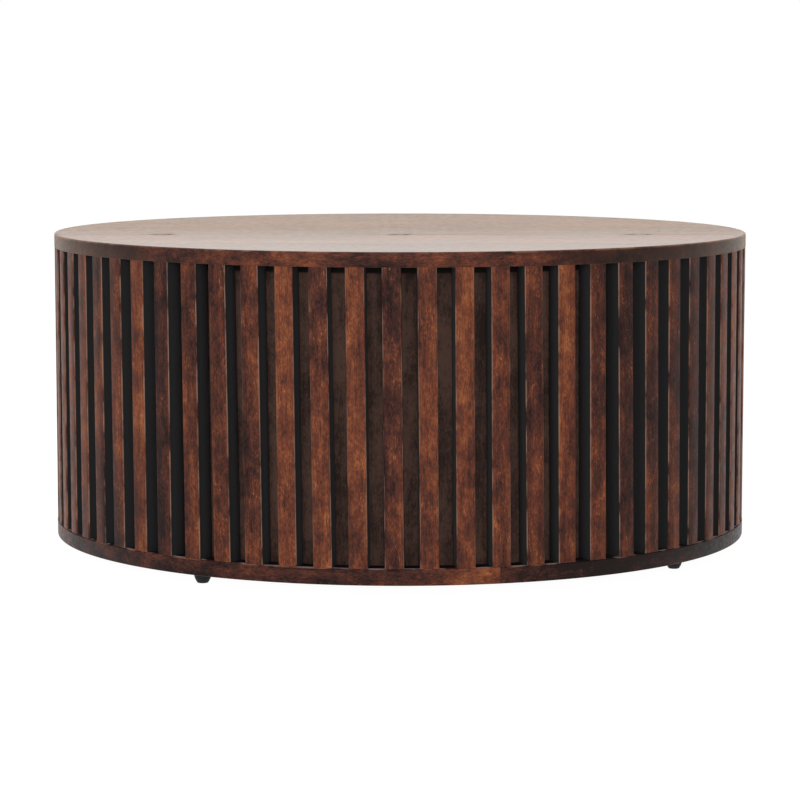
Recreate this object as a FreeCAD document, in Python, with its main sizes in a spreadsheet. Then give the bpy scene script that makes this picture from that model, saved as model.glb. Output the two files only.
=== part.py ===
# Round slatted drum table
#
# A low round table made like a drum. Five glued planks make the round top. Under its
# edge stand 66 upright slats, flush with the top and with the ring that they stand on.
# They are glued to a wall of six bent panels, which six uprights carry inside. Four
# small round feet are screwed under the ring.
#
# Frame: +Z is up, the front is towards -Y, and the origin is on the floor under the
# middle of the table. Angles are counted from +X, counterclockwise seen from above.

import FreeCAD, Part
import os
import Sketcher

PLANKS = 5
SECTIONS = 6
SLATS_PER_SECTION = 11
FEET = 4
SECTION_ANGLE = 360 / SECTIONS
SLAT_ANGLE = SECTION_ANGLE / SLATS_PER_SECTION
# Screws and their holes are drawn with few sides
SCREW_SIDES = 6
SIDE_ANGLE = 360 / SCREW_SIDES
HALF_SIDE_ANGLE = SIDE_ANGLE / 2

# The driving dimensions, in millimetres, and two angles in degrees
SIZES = [
    ("drum_diameter", 900, "outside of the top, the slats and the ring"),
    ("top_thickness", 18, "planks of the top"),
    ("top_easing", 2.5, "chamfer of the upper edge of the top"),
    ("tongue_width", 24, "loose tongues in the seams of the top"),
    ("tongue_thickness", 5, "loose tongues in the seams of the top"),
    ("tongue_stop", 10, "end of a tongue from the inside of the ring under the top"),
    ("slat_width", 22.5, "face of a slat"),
    ("slat_depth", 25, "face of a slat to its back"),
    ("slat_length", 354, "height of the slatted wall"),
    ("slat_easing", 1.5, "chamfer of the two front edges of a slat"),
    ("slat_set_back", 0.4, "face of a slat from the edge of the top"),
    ("panel_thickness", 8, "bent panels behind the slats"),
    ("ring_thickness", 20, "ring under the slats"),
    ("ring_width", 80, "ring under the slats, outside to inside"),
    ("ring_easing", 1.5, "chamfer of the outer edges of the ring"),
    ("groove_depth", 5, "groove of the ring, in which the panels stand"),
    ("upper_ring_thickness", 18, "ring under the top"),
    ("upper_ring_width", 60, "ring under the top, outside to inside"),
    ("upright_width", 40, "upright, along the wall"),
    ("upright_depth", 30, "upright, towards the middle"),
    ("tenon_width", 24, "tenons of an upright, along the wall"),
    ("tenon_depth", 14, "tenons of an upright, towards the middle"),
    ("tenon_length", 12, "tenons of an upright"),
    ("batten_width", 70, "battens under the top"),
    ("batten_thickness", 18, "battens under the top"),
    ("batten_slot_play", 6, "length of a batten's slots over their width"),
    ("batten_screw_end", 14, "outer screws of a batten from its end"),
    ("foot_height", 15, "floor to the ring"),
    ("foot_top_diameter", 22, "foot where it meets the ring"),
    ("foot_tread_diameter", 14, "foot on the floor"),
    ("foot_inset", 34, "middle of a foot from the outside of the ring"),
    ("foot_recess_depth", 7, "screw head's recess in a foot"),
    ("screw_diameter", 4.5, "shank of a screw"),
    ("screw_head_diameter", 8.5, "head of a screw"),
    ("screw_head_height", 3, "head of a screw"),
    ("counterbore_depth", 5, "screw head's recess in the wood"),
    ("top_screw_length", 24, "under the head, screws in the top"),
    ("foot_screw_length", 21, "under the head, screws in the ring"),
    ("fit_gap", 0.3, "clearance between seated pieces"),
    ("overrun", 5, "how far a cut runs past what it cuts"),
    ("first_joint_angle", 285.24, "first joint of the rings, right of the front"),
    ("first_foot_angle", 55, "back right foot"),
]

# What follows from them
DERIVED = [
    ("drum_radius", "drum_diameter / 2"),
    ("plank_width", f"drum_diameter / {PLANKS}"),
    ("batten_place", "plank_width / 2"),
    ("ring_top", "foot_height + ring_thickness"),
    ("top_floor", "ring_top + slat_length"),
    ("slat_face", "drum_radius - slat_set_back"),
    ("slat_back", "slat_face - slat_depth"),
    ("panel_outer", "slat_back - fit_gap"),
    ("panel_inner", "panel_outer - panel_thickness"),
    ("ring_inner", "drum_radius - ring_width"),
    ("groove_floor", "ring_top - groove_depth"),
    ("groove_outer", "panel_outer + fit_gap"),
    ("groove_inner", "panel_inner - fit_gap"),
    ("upper_ring_outer", "panel_inner - fit_gap"),
    ("upper_ring_inner", "upper_ring_outer - upper_ring_width"),
    ("upper_ring_floor", "top_floor - upper_ring_thickness"),
    ("upright_face", "sqrt(upper_ring_outer ^ 2 - (upright_width / 2) ^ 2)"),
    ("upright_circle", "upright_face - upright_depth / 2"),
    ("mortise_inner", "upright_circle - tenon_depth / 2 - fit_gap"),
    ("mortise_outer", "upright_circle + tenon_depth / 2 + fit_gap"),
    ("mortise_side", "tenon_width / 2 + fit_gap"),
    ("mortise_depth", "tenon_length + fit_gap"),
    ("top_screw_circle", "(upper_ring_outer + upper_ring_inner) / 2"),
    ("batten_floor", "top_floor - batten_thickness"),
    ("batten_side", "batten_place + batten_width / 2"),
    ("batten_half", "sqrt((upper_ring_inner - fit_gap) ^ 2 - batten_side ^ 2)"),
    ("foot_circle", "drum_radius - foot_inset"),
    ("bore_radius", "screw_diameter / 2 + fit_gap"),
    ("recess_radius", "screw_head_diameter / 2 + fit_gap"),
    ("bore_corner", f"bore_radius / cos({HALF_SIDE_ANGLE})"),
    ("recess_corner", f"recess_radius / cos({HALF_SIDE_ANGLE})"),
    ("tongue_floor", "top_floor + (top_thickness - tongue_thickness) / 2"),
    ("tongue_top", "tongue_floor + tongue_thickness"),
    ("tongue_groove_depth", "tongue_width / 2 + fit_gap"),
    ("top_screw_seat", "upper_ring_floor + counterbore_depth"),
    ("batten_screw_seat", "batten_floor + counterbore_depth"),
    ("top_bite", "top_screw_length - upper_ring_thickness + counterbore_depth"),
    ("batten_bite", "top_screw_length - batten_thickness + counterbore_depth"),
    ("pilot_depth", "max(top_bite; batten_bite) + fit_gap"),
    ("foot_screw_bite", "foot_screw_length - foot_height + foot_recess_depth"),
]

# Places of a segment's two screws into the top, as shares of its angle
RING_SCREW_SHARES = (0.25, 0.75)
# Seams of the top, and a place beyond its edge, as shares of a plank's width from the
# middle of the top
SEAM_SHARES = (-1.5, -0.5, 0.5, 1.5)
EDGE_SHARE = 3

doc = FreeCAD.newDocument("drum_table")
size = doc.addObject("Spreadsheet::Sheet", "size")
for row, (name, value, note) in enumerate(SIZES, start=1):
    size.set(f"A{row}", name)
    size.set(f"B{row}", str(value))
    size.setAlias(f"B{row}", name)
    size.set(f"C{row}", note)
for row, (name, formula) in enumerate(DERIVED, start=len(SIZES) + 1):
    size.set(f"A{row}", name)
    size.set(f"B{row}", "=" + formula)
    size.setAlias(f"B{row}", name)
doc.recompute()

nodes = []


def number(expression):
    value = size.evalExpression(expression)
    return float(getattr(value, "Value", value))


def body_for(label):
    """A new sub-part, named like its file."""
    body = doc.addObject("PartDesign::Body", "body_" + label)
    body.Label = label
    body.AllowCompound = True
    nodes.append(body)
    return body


def datum(body, role):
    return next(item for item in body.Origin.OriginFeatures if item.Role == role)


def turn(body, angle):
    """Turn a sub-part about the table's axis."""
    body.setExpression("Placement", f"placement(vector(0; 0; 0); rotation(vector(0; 0; 1); {angle}))")


def sketch_on(body, role, offset="0"):
    """A sketch on one of the body's own planes, or at an offset along its normal."""
    sketch = body.newObject("Sketcher::SketchObject", "sketch")
    sketch.AttachmentSupport = [(datum(body, role), "")]
    sketch.MapMode = "FlatFace"
    if offset != "0":
        sketch.setExpression("AttachmentOffset.Base.z", offset)
    return sketch


def outline(sketch, points):
    """A closed outline of straight lines. Each corner is held by its distances from the
    sketch's axes."""
    first = sketch.GeometryCount
    places = [FreeCAD.Vector(number(x), number(y), 0) for x, y in points]
    sketch.addGeometry([Part.LineSegment(start, end) for start, end in zip(places, places[1:] + places[:1])])
    limits = []
    bound = []
    for index, (point, place) in enumerate(zip(points, places)):
        line = first + index
        before = first + (index - 1) % len(points)
        limits.append(Sketcher.Constraint("Coincident", before, 2, line, 1))
        for axis, kind, across, wanted, value in (("x", "DistanceX", -2, point[0], place.x),
                                                  ("y", "DistanceY", -1, point[1], place.y)):
            if wanted == "0":
                limits.append(Sketcher.Constraint("PointOnObject", line, 1, across))
                continue
            bound.append((sketch.ConstraintCount + len(limits), f"{axis}{line}", wanted))
            limits.append(Sketcher.Constraint(kind, -1, 1, line, 1, value))
    sketch.addConstraint(limits)
    for index, label, wanted in bound:
        sketch.renameConstraint(index, label)
        sketch.setExpression("Constraints." + label, wanted)


def rectangle(sketch, x_low, x_high, y_low, y_high):
    outline(sketch, [(x_low, y_low), (x_high, y_low), (x_high, y_high), (x_low, y_high)])


def many_sided(sketch, x, y, radius, angle):
    """A screw's outline. Its radius is half its width across two sides."""
    reach = f"({radius}) / cos({HALF_SIDE_ANGLE})"
    outline(sketch, [
        (f"{x} + {reach} * cos({angle} + {corner * SIDE_ANGLE})",
         f"{y} + {reach} * sin({angle} + {corner * SIDE_ANGLE})")
        for corner in range(SCREW_SIDES)
    ])


def pad(body, sketch, length):
    feature = body.newObject("PartDesign::Pad", "pad")
    feature.Profile = sketch
    feature.setExpression("Length", length)
    return feature


def pocket(body, sketch, depth, reverse=False):
    """Cut a sketch into the body, and make sure that the cut takes something away."""
    doc.recompute()
    before = body.Shape.Volume
    feature = body.newObject("PartDesign::Pocket", "pocket")
    feature.Profile = sketch
    feature.Reversed = reverse
    feature.setExpression("Length", depth)
    doc.recompute()
    if not body.Shape.Volume < before:
        raise RuntimeError(f"{body.Label}: {feature.Name} cuts nothing")
    return feature


def revolve(body, sketch, axis="V_Axis", angle=360):
    feature = body.newObject("PartDesign::Revolution", "revolution")
    feature.Profile = sketch
    feature.ReferenceAxis = (sketch, [axis])
    feature.Angle = angle
    return feature


def repeat(body, features, count, angle=360):
    """Repeat features evenly about the table's axis."""
    pattern = body.newObject("PartDesign::PolarPattern", "pattern")
    pattern.Originals = features
    pattern.Axis = (datum(body, "Z_Axis"), [""])
    pattern.Angle = angle
    pattern.Occurrences = count
    body.Tip = pattern
    return pattern


def drill(body, height, spots, radius, depth, up):
    """Screw holes, drilled up or down from one height."""
    sketch = sketch_on(body, "XY_Plane", height)
    for x, y, angle in spots:
        many_sided(sketch, x, y, radius, angle)
    return pocket(body, sketch, depth, reverse=up)


def around(radius, angle, side="0"):
    """The place at a radius and an angle, moved sideways along the wall."""
    return (f"({radius}) * cos({angle}) - ({side}) * sin({angle})",
            f"({radius}) * sin({angle}) + ({side}) * cos({angle})")


def spot_around(radius, angle):
    """A screw's place at a radius and an angle, turned to face the table's axis."""
    return (*around(radius, angle), angle)


# Where a batten's five screws are, front to back: one in each plank
BATTEN_SCREW_PLACES = (
    "-(size.batten_half - size.batten_screw_end)", "-size.plank_width", "0", "size.plank_width",
    "size.batten_half - size.batten_screw_end",
)
# The screws into the top, as seen from above: twelve from the upper ring, and five from
# each of the two battens
RING_SCREW_SPOTS = [
    spot_around("size.top_screw_circle", f"(size.first_joint_angle + {(section + share) * SECTION_ANGLE})")
    for section in range(SECTIONS)
    for share in RING_SCREW_SHARES
]
BATTEN_SCREW_SPOTS = [
    (f"{side} * size.batten_place", place, f"{HALF_SIDE_ANGLE}")
    for side in (-1, 1)
    for place in BATTEN_SCREW_PLACES
]
FOOT_SPOTS = [spot_around("size.foot_circle", f"{foot * 360 / FEET}") for foot in range(FEET)]


def tongue_reach(seam):
    """Half the length of the tongue in a seam."""
    return f"sqrt(size.upper_ring_inner ^ 2 - ({seam} * size.plank_width) ^ 2) - size.tongue_stop"


def top_plank(label, front, back):
    """A plank of the round top, with its grain along X. Its front and back are the seams
    beside it, as shares of a plank's width, or None at the edge of the top."""
    body = body_for(label)
    half = sketch_on(body, "XZ_Plane")
    outline(half, [
        ("0", "size.top_floor"),
        ("size.drum_radius", "size.top_floor"),
        ("size.drum_radius", "size.top_floor + size.top_thickness - size.top_easing"),
        ("size.drum_radius - size.top_easing", "size.top_floor + size.top_thickness"),
        ("0", "size.top_floor + size.top_thickness"),
    ])
    revolve(body, half)
    reach = "(size.drum_radius + size.overrun)"
    trim = sketch_on(body, "XY_Plane", "size.top_floor + size.top_thickness + size.overrun")
    if front is not None:
        rectangle(trim, f"-{reach}", reach, f"-{reach}", f"{front} * size.plank_width")
    if back is not None:
        rectangle(trim, f"-{reach}", reach, f"{back} * size.plank_width", reach)
    pocket(body, trim, "size.top_thickness + 2 * size.overrun")
    for seam, cuts_back in ((front, False), (back, True)):
        if seam is None:
            continue
        groove = sketch_on(body, "XZ_Plane", f"-{seam} * size.plank_width")
        rectangle(groove, f"-({tongue_reach(seam)} + size.fit_gap)", f"{tongue_reach(seam)} + size.fit_gap",
                  "size.tongue_floor", "size.tongue_top")
        pocket(body, groove, "size.tongue_groove_depth", reverse=cuts_back)
    low = f"{-EDGE_SHARE if front is None else front} * size.plank_width"
    high = f"{EDGE_SHARE if back is None else back} * size.plank_width"
    spots = [spot for spot in RING_SCREW_SPOTS + BATTEN_SCREW_SPOTS
             if number(low) < number(spot[1]) < number(high)]
    drill(body, "size.top_floor", spots, "size.bore_radius", "size.pilot_depth", True)


# The top: five planks, front to back
seams = (None, *SEAM_SHARES, None)
for index, name in enumerate(("front", "front_middle", "middle", "back_middle", "back")):
    top_plank("top_plank_" + name, seams[index], seams[index + 1])

# The loose tongues in the four seams of the top
tongues = body_for("top_tongues")
plan = sketch_on(tongues, "XY_Plane", "size.tongue_floor")
for seam in SEAM_SHARES:
    rectangle(plan, f"-({tongue_reach(seam)})", tongue_reach(seam),
              f"{seam} * size.plank_width - size.tongue_width / 2",
              f"{seam} * size.plank_width + size.tongue_width / 2")
pad(tongues, plan, "size.tongue_thickness")


def batten(label, side):
    """A batten across the planks, with a slot for each screw so that the planks can move."""
    body = body_for(label)
    middle = f"{side} * size.batten_place"
    plan = sketch_on(body, "XY_Plane", "size.batten_floor")
    rectangle(plan, f"{middle} - size.batten_width / 2", f"{middle} + size.batten_width / 2",
              "-size.batten_half", "size.batten_half")
    pad(body, plan, "size.batten_thickness")
    for radius, corner, depth in (
            ("size.recess_radius", "size.recess_corner", "size.counterbore_depth"),
            ("size.bore_radius", "size.bore_corner", "size.batten_thickness")):
        slots = sketch_on(body, "XY_Plane", "size.batten_floor")
        for place in BATTEN_SCREW_PLACES:
            rectangle(slots, f"{middle} - {radius}", f"{middle} + {radius}",
                      f"{place} - {corner} - size.batten_slot_play / 2",
                      f"{place} + {corner} + size.batten_slot_play / 2")
        pocket(body, slots, depth, reverse=True)


batten("top_batten_left", -1)
batten("top_batten_right", 1)


def sector(label, section):
    """A sixth of a ring, turned from its section."""
    body = body_for(label)
    sketch = sketch_on(body, "XZ_Plane")
    outline(sketch, section)
    revolve(body, sketch, angle=SECTION_ANGLE)
    return body


def box_section(inner, outer, floor, top):
    return [(inner, floor), (outer, floor), (outer, top), (inner, top)]


def mortises(segment, height, up):
    """Half of an upright's mortise at each end of a ring's segment."""
    sketch = sketch_on(segment, "XY_Plane", height)
    for angle, near, far in (("0", "-size.overrun", "size.mortise_side"),
                             (f"{SECTION_ANGLE}", "-size.mortise_side", "size.overrun")):
        outline(sketch, [
            around("size.mortise_inner", angle, near), around("size.mortise_outer", angle, near),
            around("size.mortise_outer", angle, far), around("size.mortise_inner", angle, far),
        ])
    pocket(segment, sketch, "size.mortise_depth", reverse=up)


# The ring under the slats has eased outer edges, and a groove that the panels stand in
RING_SECTION = [
    ("size.ring_inner", "size.foot_height"),
    ("size.drum_radius - size.ring_easing", "size.foot_height"),
    ("size.drum_radius", "size.foot_height + size.ring_easing"),
    ("size.drum_radius", "size.ring_top - size.ring_easing"),
    ("size.drum_radius - size.ring_easing", "size.ring_top"),
    ("size.groove_outer", "size.ring_top"),
    ("size.groove_outer", "size.groove_floor"),
    ("size.groove_inner", "size.groove_floor"),
    ("size.groove_inner", "size.ring_top"),
    ("size.ring_inner", "size.ring_top"),
]
SEGMENT_SCREW_SPOTS = [
    spot_around("size.top_screw_circle", f"{share * SECTION_ANGLE}") for share in RING_SCREW_SHARES
]

for section in range(SECTIONS):
    count = section + 1
    joint = f"size.first_joint_angle + {section * SECTION_ANGLE}"

    # The ring under the slats
    segment = sector(f"bottom_ring_segment_{count}", RING_SECTION)
    mortises(segment, "size.ring_top", False)
    turn(segment, joint)
    for foot in range(FEET):
        foot_angle = f"(size.first_foot_angle + {foot * 360 / FEET} - ({joint}))"
        if number(foot_angle) % 360 < SECTION_ANGLE:
            drill(segment, "size.foot_height", [spot_around("size.foot_circle", foot_angle)],
                  "size.bore_radius", "size.foot_screw_bite + size.fit_gap", True)

    # The ring under the top
    segment = sector(f"upper_ring_segment_{count}", box_section(
        "size.upper_ring_inner", "size.upper_ring_outer", "size.upper_ring_floor", "size.top_floor"))
    mortises(segment, "size.upper_ring_floor", True)
    drill(segment, "size.upper_ring_floor", SEGMENT_SCREW_SPOTS, "size.recess_radius",
          "size.counterbore_depth", True)
    drill(segment, "size.upper_ring_floor", SEGMENT_SCREW_SPOTS, "size.bore_radius",
          "size.upper_ring_thickness", True)
    turn(segment, joint)

    # The upright inside the wall, tenoned into both rings over their joints
    upright = body_for(f"upright_{count}")
    for height, width, depth, length in (
            ("size.ring_top", "size.upright_width", "size.upright_depth",
             "size.slat_length - size.upper_ring_thickness"),
            ("size.ring_top - size.tenon_length", "size.tenon_width", "size.tenon_depth",
             "size.slat_length - size.upper_ring_thickness + 2 * size.tenon_length")):
        plan = sketch_on(upright, "XY_Plane", height)
        rectangle(plan, f"size.upright_circle - {depth} / 2", f"size.upright_circle + {depth} / 2",
                  f"-{width} / 2", f"{width} / 2")
        pad(upright, plan, length)
    turn(upright, joint)

    # The bent panel between two uprights
    panel = sector(f"backing_panel_{count}", box_section(
        "size.panel_inner", "size.panel_outer", "size.groove_floor", "size.top_floor"))
    turn(panel, joint)

    # The slats glued to it, the first of them over the joint
    slats = body_for(f"slats_{count}")
    plan = sketch_on(slats, "XY_Plane", "size.ring_top")
    outline(plan, [
        ("size.slat_back", "-size.slat_width / 2"),
        ("size.slat_face - size.slat_easing", "-size.slat_width / 2"),
        ("size.slat_face", "-size.slat_width / 2 + size.slat_easing"),
        ("size.slat_face", "size.slat_width / 2 - size.slat_easing"),
        ("size.slat_face - size.slat_easing", "size.slat_width / 2"),
        ("size.slat_back", "size.slat_width / 2"),
    ])
    slat = pad(slats, plan, "size.slat_length")
    repeat(slats, [slat], SLATS_PER_SECTION, SECTION_ANGLE - SLAT_ANGLE)
    turn(slats, joint)

# The feet: small glides turned about their own middle, each with a sunk screw
feet = body_for("feet")
half = sketch_on(feet, "XZ_Plane")
outline(half, [
    ("size.foot_circle", "0"),
    ("size.foot_circle + size.foot_tread_diameter / 2", "0"),
    ("size.foot_circle + size.foot_top_diameter / 2", "size.foot_height"),
    ("size.foot_circle", "size.foot_height"),
])
glide = revolve(feet, half, axis="Edge4")
repeat(feet, [glide], FEET)
drill(feet, "0", FOOT_SPOTS, "size.recess_radius", "size.foot_recess_depth", True)
drill(feet, "0", FOOT_SPOTS, "size.bore_radius", "size.foot_height", True)
turn(feet, "size.first_foot_angle")


def screws(label, seat, length, spots, count=1):
    """Upright screws of one kind, with their heads under one height. A count repeats them
    evenly about the table's axis."""
    body = body_for(label)
    made = []
    for height, radius, reach in (
            (f"{seat} - size.screw_head_height", "size.screw_head_diameter / 2", "size.screw_head_height"),
            (seat, "size.screw_diameter / 2", length)):
        plan = sketch_on(body, "XY_Plane", height)
        for x, y, angle in spots:
            many_sided(plan, x, y, radius, angle)
        made.append(pad(body, plan, reach))
    if count > 1:
        repeat(body, made, count)
    return body


# The screws: two from each upper segment into the top, five through each batten, and one
# in each foot
ring_screws = screws("top_ring_screws", "size.top_screw_seat", "size.top_screw_length",
                     [spot_around("size.top_screw_circle", "0")], 2 * SECTIONS)
turn(ring_screws, f"size.first_joint_angle + {RING_SCREW_SHARES[0] * SECTION_ANGLE}")
screws("batten_screws", "size.batten_screw_seat", "size.top_screw_length", BATTEN_SCREW_SPOTS)
foot_screws = screws("foot_screws", "size.foot_recess_depth", "size.foot_screw_length", FOOT_SPOTS)
turn(foot_screws, "size.first_foot_angle")

doc.recompute()
for item in doc.Objects:
    if "Invalid" in item.State or "Error" in item.State:
        raise RuntimeError(f"{item.Label} failed: {item.State}")
for node in nodes:
    if node.Shape.isNull() or not node.Shape.isValid():
        raise RuntimeError(f"{node.Label} has no valid shape")

os.makedirs("parts", exist_ok=True)
for node in nodes:
    node.Shape.exportStep(f"parts/{node.Label}.step")
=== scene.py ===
import math

import bmesh
import bpy
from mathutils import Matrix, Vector


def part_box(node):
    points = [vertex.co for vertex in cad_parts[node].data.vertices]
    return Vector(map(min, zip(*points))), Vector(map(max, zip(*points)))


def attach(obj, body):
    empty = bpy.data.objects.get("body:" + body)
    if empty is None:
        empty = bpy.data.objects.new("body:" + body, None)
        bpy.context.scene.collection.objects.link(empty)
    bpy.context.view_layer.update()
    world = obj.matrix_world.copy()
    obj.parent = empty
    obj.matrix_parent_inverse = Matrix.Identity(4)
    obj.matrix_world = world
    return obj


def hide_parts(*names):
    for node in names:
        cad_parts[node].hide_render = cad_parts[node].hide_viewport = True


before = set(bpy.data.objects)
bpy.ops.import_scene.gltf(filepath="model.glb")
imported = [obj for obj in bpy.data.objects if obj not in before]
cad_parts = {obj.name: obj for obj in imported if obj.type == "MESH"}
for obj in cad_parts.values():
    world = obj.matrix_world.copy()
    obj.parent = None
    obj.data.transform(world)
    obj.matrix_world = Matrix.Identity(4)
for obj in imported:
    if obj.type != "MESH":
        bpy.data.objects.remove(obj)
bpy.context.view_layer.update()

scene = bpy.context.scene
scene.view_settings.view_transform = "Standard"


# The room. A long lens looks at the table from the front and a little from above, and a
# white backdrop and a pale floor lie all round it. Two wide softboxes stand in front, left
# and right, one hangs over the table, and a dim one stands behind it.
def linear(colour):
    """The linear colour of an sRGB hex value."""
    def channel(place):
        value = int(colour[place:place + 2], 16) / 255
        return value / 12.92 if value <= 0.04045 else ((value + 0.055) / 1.055) ** 2.4
    return channel(1), channel(3), channel(5), 1.0


def add_node(tree, kind, settings=None):
    """A node with its properties and inputs set. An input that is given a socket is linked
    to it, and one that is given a node is linked to that node's first output."""
    node = tree.nodes.new(kind)
    for name, value in (settings or {}).items():
        if isinstance(value, bpy.types.Node):
            value = value.outputs[0]
        if isinstance(value, bpy.types.NodeSocket):
            tree.links.new(value, node.inputs[name])
        elif isinstance(name, int) or name in node.inputs:
            node.inputs[name].default_value = value
        else:
            setattr(node, name, value)
    return node


def empty_material(name):
    """A material without nodes."""
    material = bpy.data.materials.new(name)
    material.use_nodes = True
    material.node_tree.nodes.clear()
    return material


def seen_directly(tree):
    """One where the eye sees a surface itself, in a reflection or through glass."""
    rays = add_node(tree, "ShaderNodeLightPath").outputs
    mirrored = add_node(tree, "ShaderNodeMath", {
        "operation": "MAXIMUM", 0: rays["Is Camera Ray"], 1: rays["Is Glossy Ray"]})
    return add_node(tree, "ShaderNodeMath", {
        "operation": "MAXIMUM", 0: mirrored, 1: rays["Is Transmission Ray"]})


camera_tilt = 6.5
camera = bpy.data.objects.new("camera", bpy.data.cameras.new("camera"))
camera.location = (0, -3.84, 0.621)
camera.rotation_euler = (math.radians(90 - camera_tilt), 0, 0)
camera.data.sensor_width = 36
camera.data.lens = 131.9
camera.data.clip_end = 60
scene.collection.objects.link(camera)
scene.camera = camera

table_middle = Vector((0, 0, 0.2))
softbox_height = 2.0
# Where each softbox stands, its width in metres and its power in watts
for name, place, width, power in (("left_softbox", (-1.75, -2.9, 1.1), 2.2, 44),
                                  ("right_softbox", (0.8, -3.25, 1.1), 2.0, 32),
                                  ("upper_softbox", (0, -0.4, 2.8), 2.4, 42),
                                  ("back_softbox", (0.3, 3.2, 1.3), 2.6, 22)):
    lamp = bpy.data.lights.new(name, "AREA")
    lamp.shape = "RECTANGLE"
    lamp.size = width
    lamp.size_y = softbox_height
    lamp.energy = power
    light = bpy.data.objects.new(name, lamp)
    light.location = place
    light.rotation_euler = (table_middle - Vector(place)).to_track_quat("-Z", "Y").to_euler()
    # The lacquer mirrors only the white room, so no glare hides the top from any side
    light.visible_glossy = False
    scene.collection.objects.link(light)

backdrop_light = 0.3
world = bpy.data.worlds.new("white_studio")
scene.world = world
world.use_nodes = True
tree = world.node_tree
tree.nodes.clear()
level = add_node(tree, "ShaderNodeMapRange", {
    "To Min": backdrop_light, "To Max": 1.0, "Value": seen_directly(tree)})
backdrop = add_node(tree, "ShaderNodeBackground", {"Color": linear("#FFFFFF"), "Strength": level})
add_node(tree, "ShaderNodeOutputWorld", {"Surface": backdrop})

# The floor: matt white paint. What the eye sees of it is mostly an even white, and the rest
# keeps the table's shadow.
floor_half = 20
floor_glow = 1.14
floor_glow_share = 0.86
floor_paint = empty_material("white_studio_floor")
tree = floor_paint.node_tree
matt = add_node(tree, "ShaderNodeBsdfDiffuse", {"Color": linear("#E9E7E3")})
white = add_node(tree, "ShaderNodeEmission", {"Color": linear("#FFFFFF"), "Strength": floor_glow})
share = add_node(tree, "ShaderNodeMath", {
    "operation": "MULTIPLY", 0: seen_directly(tree), 1: floor_glow_share})
mixed = add_node(tree, "ShaderNodeMixShader", {0: share, 1: matt, 2: white})
add_node(tree, "ShaderNodeOutputMaterial", {"Surface": mixed})
floor_mesh = bpy.data.meshes.new("floor")
floor_mesh.from_pydata([(x * floor_half, y * floor_half, 0)
                        for x, y in ((-1, -1), (1, -1), (1, 1), (-1, 1))], [], [(0, 1, 2, 3)])
floor_mesh.materials.append(floor_paint)
floor = bpy.data.objects.new("floor", floor_mesh)
scene.collection.objects.link(floor)


# The feet: four small turned glides of black rubber with a rounded tread, a quarter turn
# apart under the ring. A screw sits sunk in each.
def lathe(bm, profile, centre, sides):
    """A closed outline of (radius, height) points, turned about an upright line."""
    rings = []
    for side in range(sides):
        angle = 2 * math.pi * side / sides
        rings.append([bm.verts.new((centre[0] + radius * math.cos(angle),
                                    centre[1] + radius * math.sin(angle), height))
                      for radius, height in profile])
    for near, far in zip(rings, rings[1:] + rings[:1]):
        for place in range(len(profile)):
            after = (place + 1) % len(profile)
            bm.faces.new((near[place], far[place], far[after], near[after]))


def closed_mesh(bm, *materials):
    """The mesh of a closed shape, with its faces outwards."""
    bmesh.ops.recalc_face_normals(bm, faces=bm.faces)
    mesh = bpy.data.meshes.new("closed")
    bm.to_mesh(mesh)
    bm.free()
    for material in materials:
        mesh.materials.append(material)
    return mesh


def finished(mesh, name, node, crease=30):
    """A finished piece, which stands for a CAD node and takes the finish of its slot. Edges
    that turn by more degrees than the crease show sharp."""
    mesh.name = name
    mesh.shade_smooth()
    mesh.set_sharp_from_angle(angle=math.radians(crease))
    piece = bpy.data.objects.new(name, mesh)
    scene.collection.objects.link(piece)
    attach(piece, "root")
    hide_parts(node)
    return piece


# Rubber: moulded, near black and matt, with a fine pebbled skin that breaks the sheen and
# dust in patches of 4 to 5 mm. The pebbles are drawn 1 mm wide, so that they show.
rubber = empty_material("moulded_black_rubber")
tree = rubber.node_tree
place = add_node(tree, "ShaderNodeTexCoord").outputs["Object"]
pebbles = add_node(tree, "ShaderNodeTexNoise", {"Scale": 1 / 0.001, "Detail": 2, "Vector": place})
dust = add_node(tree, "ShaderNodeTexNoise", {"Scale": 220, "Detail": 3, "Vector": place})
black = add_node(tree, "ShaderNodeMix", {
    "data_type": "RGBA", 0: dust, 6: linear("#131212"), 7: linear("#262422")}).outputs[2]
dull = add_node(tree, "ShaderNodeMapRange", {"To Min": 0.55, "To Max": 0.8, "Value": dust})
skin = add_node(tree, "ShaderNodeBump", {"Strength": 0.3, "Distance": 0.0002, "Height": pebbles})
surface = add_node(tree, "ShaderNodeBsdfPrincipled", {
    "IOR": 1.5, "Specular IOR Level": 0.3, "Base Color": black, "Roughness": dull,
    "Normal": skin})
add_node(tree, "ShaderNodeOutputMaterial", {"Surface": surface})

drum_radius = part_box("top_plank_middle")[1].x
ring_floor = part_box("feet")[1].z
foot_inset = 0.034
foot_circle = drum_radius - foot_inset
foot_angles = [math.radians(55 + 90 * foot) for foot in range(4)]
foot_recess = 0.007
shank_hole = 0.0026
foot_profile = [(shank_hole, foot_recess), (0.0049, foot_recess), (0.0049, 0.0004), (0.0053, 0),
                (0.0063, 0.0002), (0.0069, 0.0008), (0.0075, 0.0018), (0.0083, 0.0032),
                (0.0093, 0.0052), (0.0102, 0.0078), (0.0108, 0.011), (0.011, ring_floor),
                (shank_hole, ring_floor)]
bm = bmesh.new()
for angle in foot_angles:
    lathe(bm, foot_profile, (foot_circle * math.cos(angle), foot_circle * math.sin(angle)), 40)
finished(closed_mesh(bm, rubber), "rubber_feet", "feet")


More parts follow.
